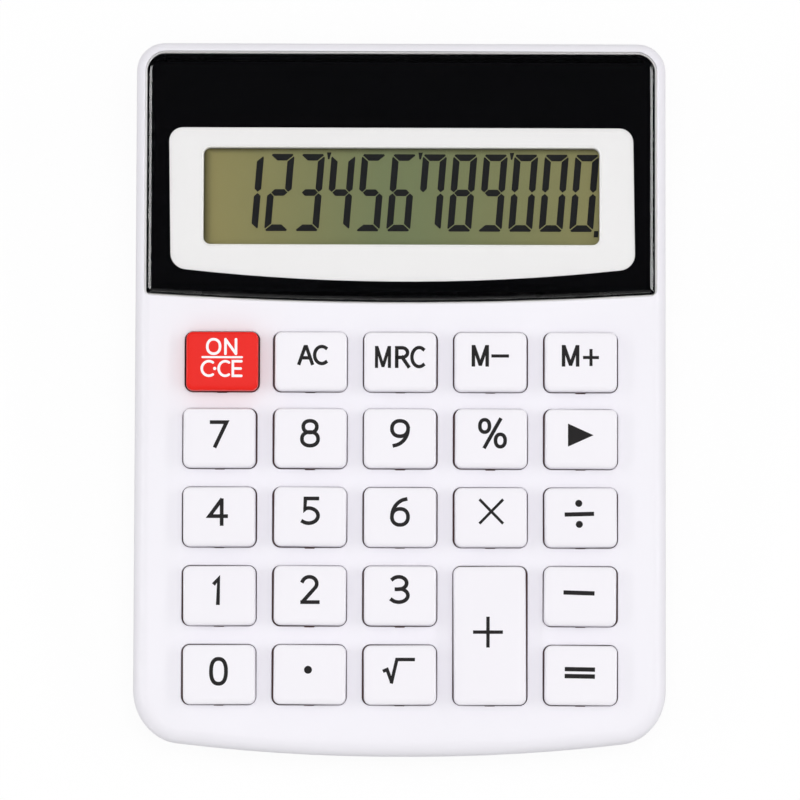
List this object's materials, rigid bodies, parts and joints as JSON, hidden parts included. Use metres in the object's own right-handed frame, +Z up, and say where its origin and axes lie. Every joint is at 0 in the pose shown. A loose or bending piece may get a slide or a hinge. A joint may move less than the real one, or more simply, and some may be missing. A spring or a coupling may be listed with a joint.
{
  "type": "electronic calculator",
  "caption": "Wedge-shaped desk calculator with a sloping face, a wide LCD behind a clear lens and a grid of pressing keys, one red and one tall, over a battery base.",
  "frame": {"origin": "on the table, under the middle of the case's bounding box", "axes": "+X to the right of someone using it, +Y towards the display end, +Z up"},
  "size_m": [0.1064, 0.142, 0.027],
  "materials": {
    "case_white": "fine satin moulded ABS",
    "lens_clear": "clear polished acrylic",
    "mask_black": "black printed film",
    "lcd_film": "matt polarising film",
    "lcd_glass": "thin clear glass",
    "lcd_reflector": "olive reflector film",
    "foam_grey": "closed-cell foam",
    "connector_rubber": "layered silicone",
    "silicone_grey": "moulded silicone",
    "board_green": "solder mask on laminate",
    "screw_steel": "zinc plated",
    "epoxy_black": "cured epoxy",
    "capacitor_sleeve": "shrink sleeve",
    "resistor_body": "glazed chip",
    "foot_rubber": "matt rubber",
    "battery_jacket": "plain printed jacket",
    "contact_nickel": "nickel plated spring strip",
    "wire_red": "insulated wire",
    "wire_black": "insulated wire",
    "key_white": "smooth satin cap",
    "key_red": "smooth satin cap"
  },
  "bodies": {
    "case": {"top_housing": "case_white", "bottom_housing": "case_white", "display_lens": "lens_clear", "display_mask": "mask_black", "lcd_front_polariser": "lcd_film", "lcd_front_glass": "lcd_glass", "lcd_rear_glass": "lcd_glass", "lcd_reflector": "lcd_reflector", "lcd_foam_pad": "foam_grey", "lcd_connector_strip": "connector_rubber", "keypad_membrane": "silicone_grey", "circuit_board": "board_green", "board_screws": "screw_steel", "case_screws": "screw_steel", "processor_blob": "epoxy_black", "capacitor": "capacitor_sleeve", "resistors": "resistor_body", "rubber_feet": "foot_rubber", "battery": "battery_jacket", "battery_contact_positive": "contact_nickel", "battery_contact_negative": "contact_nickel", "battery_wire_positive": "wire_red", "battery_wire_negative": "wire_black"},
    "key_on_clear": {"key_on_clear": "key_red"},
    "key_all_clear": {"key_all_clear": "key_white"},
    "key_memory_recall": {"key_memory_recall": "key_white"},
    "key_memory_minus": {"key_memory_minus": "key_white"},
    "key_memory_plus": {"key_memory_plus": "key_white"},
    "key_7": {"key_7": "key_white"},
    "key_8": {"key_8": "key_white"},
    "key_9": {"key_9": "key_white"},
    "key_percent": {"key_percent": "key_white"},
    "key_step_back": {"key_step_back": "key_white"},
    "key_4": {"key_4": "key_white"},
    "key_5": {"key_5": "key_white"},
    "key_6": {"key_6": "key_white"},
    "key_times": {"key_times": "key_white"},
    "key_divide": {"key_divide": "key_white"},
    "key_1": {"key_1": "key_white"},
    "key_2": {"key_2": "key_white"},
    "key_3": {"key_3": "key_white"},
    "key_plus": {"key_plus": "key_white"},
    "key_minus": {"key_minus": "key_white"},
    "key_0": {"key_0": "key_white"},
    "key_point": {"key_point": "key_white"},
    "key_root": {"key_root": "key_white"},
    "key_equals": {"key_equals": "key_white"},
    "battery_door": {"battery_door": "case_white"}
  },
  "joints": [
    {"name": "key_on_clear_press", "type": "slide", "parent": "case", "child": "key_on_clear", "axis": [0, 0.1046, -0.9945], "range_m": [0, 0.0012], "stiffness_N_per_m": 400, "springref_m": -0.0004, "deforming": ["keypad_membrane"]},
    {"name": "key_all_clear_press", "type": "slide", "parent": "case", "child": "key_all_clear", "axis": [0, 0.1046, -0.9945], "range_m": [0, 0.0012], "stiffness_N_per_m": 400, "springref_m": -0.0004, "deforming": ["keypad_membrane"]},
    {"name": "key_memory_recall_press", "type": "slide", "parent": "case", "child": "key_memory_recall", "axis": [0, 0.1046, -0.9945], "range_m": [0, 0.0012], "stiffness_N_per_m": 400, "springref_m": -0.0004, "deforming": ["keypad_membrane"]},
    {"name": "key_memory_minus_press", "type": "slide", "parent": "case", "child": "key_memory_minus", "axis": [0, 0.1046, -0.9945], "range_m": [0, 0.0012], "stiffness_N_per_m": 400, "springref_m": -0.0004, "deforming": ["keypad_membrane"]},
    {"name": "key_memory_plus_press", "type": "slide", "parent": "case", "child": "key_memory_plus", "axis": [0, 0.1046, -0.9945], "range_m": [0, 0.0012], "stiffness_N_per_m": 400, "springref_m": -0.0004, "deforming": ["keypad_membrane"]},
    {"name": "key_7_press", "type": "slide", "parent": "case", "child": "key_7", "axis": [0, 0.1046, -0.9945], "range_m": [0, 0.0012], "stiffness_N_per_m": 400, "springref_m": -0.0004, "deforming": ["keypad_membrane"]},
    {"name": "key_8_press", "type": "slide", "parent": "case", "child": "key_8", "axis": [0, 0.1046, -0.9945], "range_m": [0, 0.0012], "stiffness_N_per_m": 400, "springref_m": -0.0004, "deforming": ["keypad_membrane"]},
    {"name": "key_9_press", "type": "slide", "parent": "case", "child": "key_9", "axis": [0, 0.1046, -0.9945], "range_m": [0, 0.0012], "stiffness_N_per_m": 400, "springref_m": -0.0004, "deforming": ["keypad_membrane"]},
    {"name": "key_percent_press", "type": "slide", "parent": "case", "child": "key_percent", "axis": [0, 0.1046, -0.9945], "range_m": [0, 0.0012], "stiffness_N_per_m": 400, "springref_m": -0.0004, "deforming": ["keypad_membrane"]},
    {"name": "key_step_back_press", "type": "slide", "parent": "case", "child": "key_step_back", "axis": [0, 0.1046, -0.9945], "range_m": [0, 0.0012], "stiffness_N_per_m": 400, "springref_m": -0.0004, "deforming": ["keypad_membrane"]},
    {"name": "key_4_press", "type": "slide", "parent": "case", "child": "key_4", "axis": [0, 0.1046, -0.9945], "range_m": [0, 0.0012], "stiffness_N_per_m": 400, "springref_m": -0.0004, "deforming": ["keypad_membrane"]},
    {"name": "key_5_press", "type": "slide", "parent": "case", "child": "key_5", "axis": [0, 0.1046, -0.9945], "range_m": [0, 0.0012], "stiffness_N_per_m": 400, "springref_m": -0.0004, "deforming": ["keypad_membrane"]},
    {"name": "key_6_press", "type": "slide", "parent": "case", "child": "key_6", "axis": [0, 0.1046, -0.9945], "range_m": [0, 0.0012], "stiffness_N_per_m": 400, "springref_m": -0.0004, "deforming": ["keypad_membrane"]},
    {"name": "key_times_press", "type": "slide", "parent": "case", "child": "key_times", "axis": [0, 0.1046, -0.9945], "range_m": [0, 0.0012], "stiffness_N_per_m": 400, "springref_m": -0.0004, "deforming": ["keypad_membrane"]},
    {"name": "key_divide_press", "type": "slide", "parent": "case", "child": "key_divide", "axis": [0, 0.1046, -0.9945], "range_m": [0, 0.0012], "stiffness_N_per_m": 400, "springref_m": -0.0004, "deforming": ["keypad_membrane"]},
    {"name": "key_1_press", "type": "slide", "parent": "case", "child": "key_1", "axis": [0, 0.1046, -0.9945], "range_m": [0, 0.0012], "stiffness_N_per_m": 400, "springref_m": -0.0004, "deforming": ["keypad_membrane"]},
    {"name": "key_2_press", "type": "slide", "parent": "case", "child": "key_2", "axis": [0, 0.1046, -0.9945], "range_m": [0, 0.0012], "stiffness_N_per_m": 400, "springref_m": -0.0004, "deforming": ["keypad_membrane"]},
    {"name": "key_3_press", "type": "slide", "parent": "case", "child": "key_3", "axis": [0, 0.1046, -0.9945], "range_m": [0, 0.0012], "stiffness_N_per_m": 400, "springref_m": -0.0004, "deforming": ["keypad_membrane"]},
    {"name": "key_plus_press", "type": "slide", "parent": "case", "child": "key_plus", "axis": [0, 0.1046, -0.9945], "range_m": [0, 0.0012], "stiffness_N_per_m": 400, "springref_m": -0.0004, "deforming": ["keypad_membrane"]},
    {"name": "key_minus_press", "type": "slide", "parent": "case", "child": "key_minus", "axis": [0, 0.1046, -0.9945], "range_m": [0, 0.0012], "stiffness_N_per_m": 400, "springref_m": -0.0004, "deforming": ["keypad_membrane"]},
    {"name": "key_0_press", "type": "slide", "parent": "case", "child": "key_0", "axis": [0, 0.1046, -0.9945], "range_m": [0, 0.0012], "stiffness_N_per_m": 400, "springref_m": -0.0004, "deforming": ["keypad_membrane"]},
    {"name": "key_point_press", "type": "slide", "parent": "case", "child": "key_point", "axis": [0, 0.1046, -0.9945], "range_m": [0, 0.0012], "stiffness_N_per_m": 400, "springref_m": -0.0004, "deforming": ["keypad_membrane"]},
    {"name": "key_root_press", "type": "slide", "parent": "case", "child": "key_root", "axis": [0, 0.1046, -0.9945], "range_m": [0, 0.0012], "stiffness_N_per_m": 400, "springref_m": -0.0004, "deforming": ["keypad_membrane"]},
    {"name": "key_equals_press", "type": "slide", "parent": "case", "child": "key_equals", "axis": [0, 0.1046, -0.9945], "range_m": [0, 0.0012], "stiffness_N_per_m": 400, "springref_m": -0.0004, "deforming": ["keypad_membrane"]},
    {"name": "battery_door_slide", "type": "slide", "parent": "case", "child": "battery_door", "axis": [0, 1, 0], "range_m": [0, 0.018]}
  ]
}
